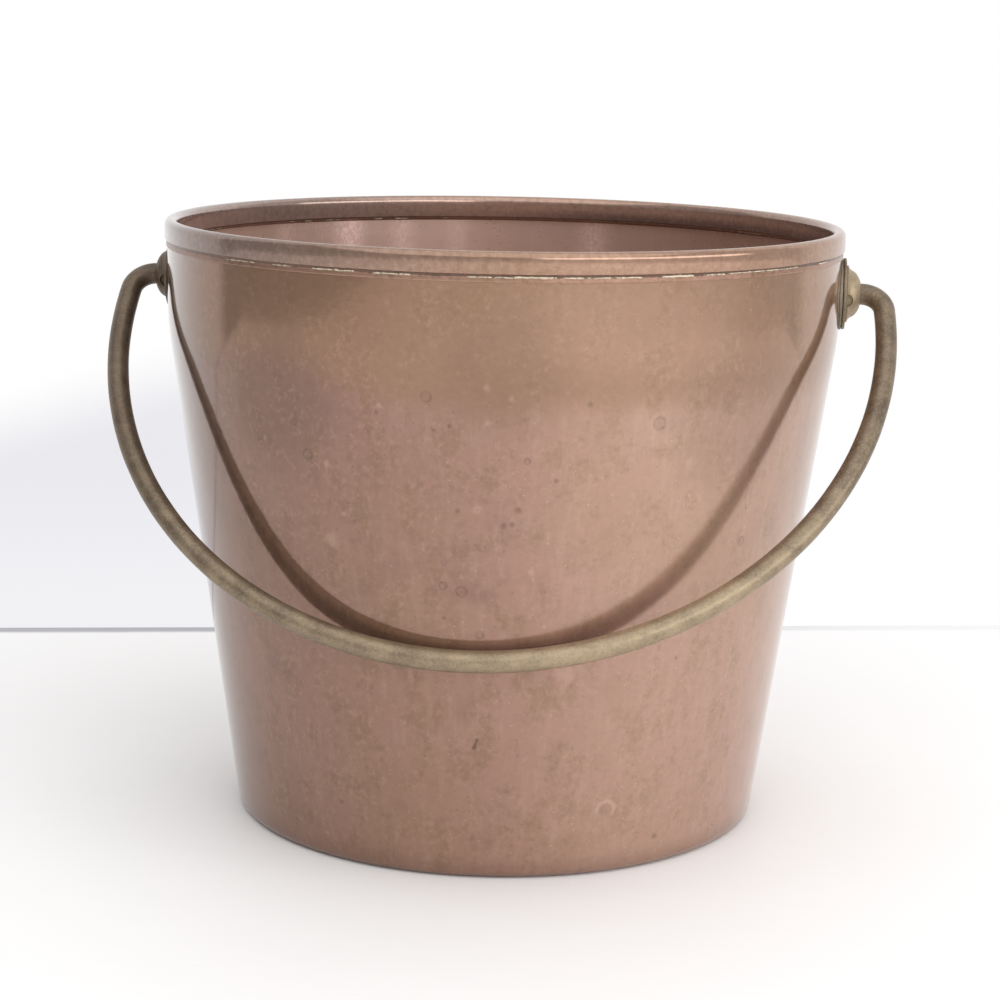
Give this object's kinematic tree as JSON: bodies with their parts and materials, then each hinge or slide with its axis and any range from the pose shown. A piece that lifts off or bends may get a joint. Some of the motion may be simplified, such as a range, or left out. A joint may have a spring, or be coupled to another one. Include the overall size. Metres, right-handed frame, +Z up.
{
  "type": "copper pail with a swing handle",
  "caption": "Tapered copper pail, open at the top, with a folded rim and a brass swing handle pivoted in bosses at its sides.",
  "frame": {"origin": "middle of the base's underside, on the floor", "axes": "+Z up, +X along the handle's pivot line, -Y towards the side that the handle rests on"},
  "size_m": [0.2892, 0.25, 0.221],
  "materials": {
    "copper": "aged, brown and pink patches, water spots",
    "rim_copper": "aged, rubbed brighter on its rounded top",
    "iron": "plain, hidden inside the rim",
    "solder": "uneven bright and dull solder",
    "ear_brass": "cast, dull and stained",
    "handle_brass": "dull olive brown, rubbed brighter in streaks"
  },
  "bodies": {
    "pail": {"body": "copper", "rim_band": "rim_copper", "rim_hoop": "iron", "outer_rim_solder": "solder", "inner_rim_solder": "solder", "left_ear_plate": "ear_brass", "right_ear_plate": "ear_brass", "left_plate_solder": "solder", "right_plate_solder": "solder", "left_ear_boss": "ear_brass", "right_ear_boss": "ear_brass", "left_boss_solder": "solder", "right_boss_solder": "solder"},
    "handle": {"bail": "handle_brass"}
  },
  "joints": [
    {"name": "handle_swing", "type": "hinge", "parent": "pail", "child": "handle", "pos_m": [0, 0, 0.1975], "axis": [-1, 0, 0], "range_deg": [0, 270.6]}
  ]
}
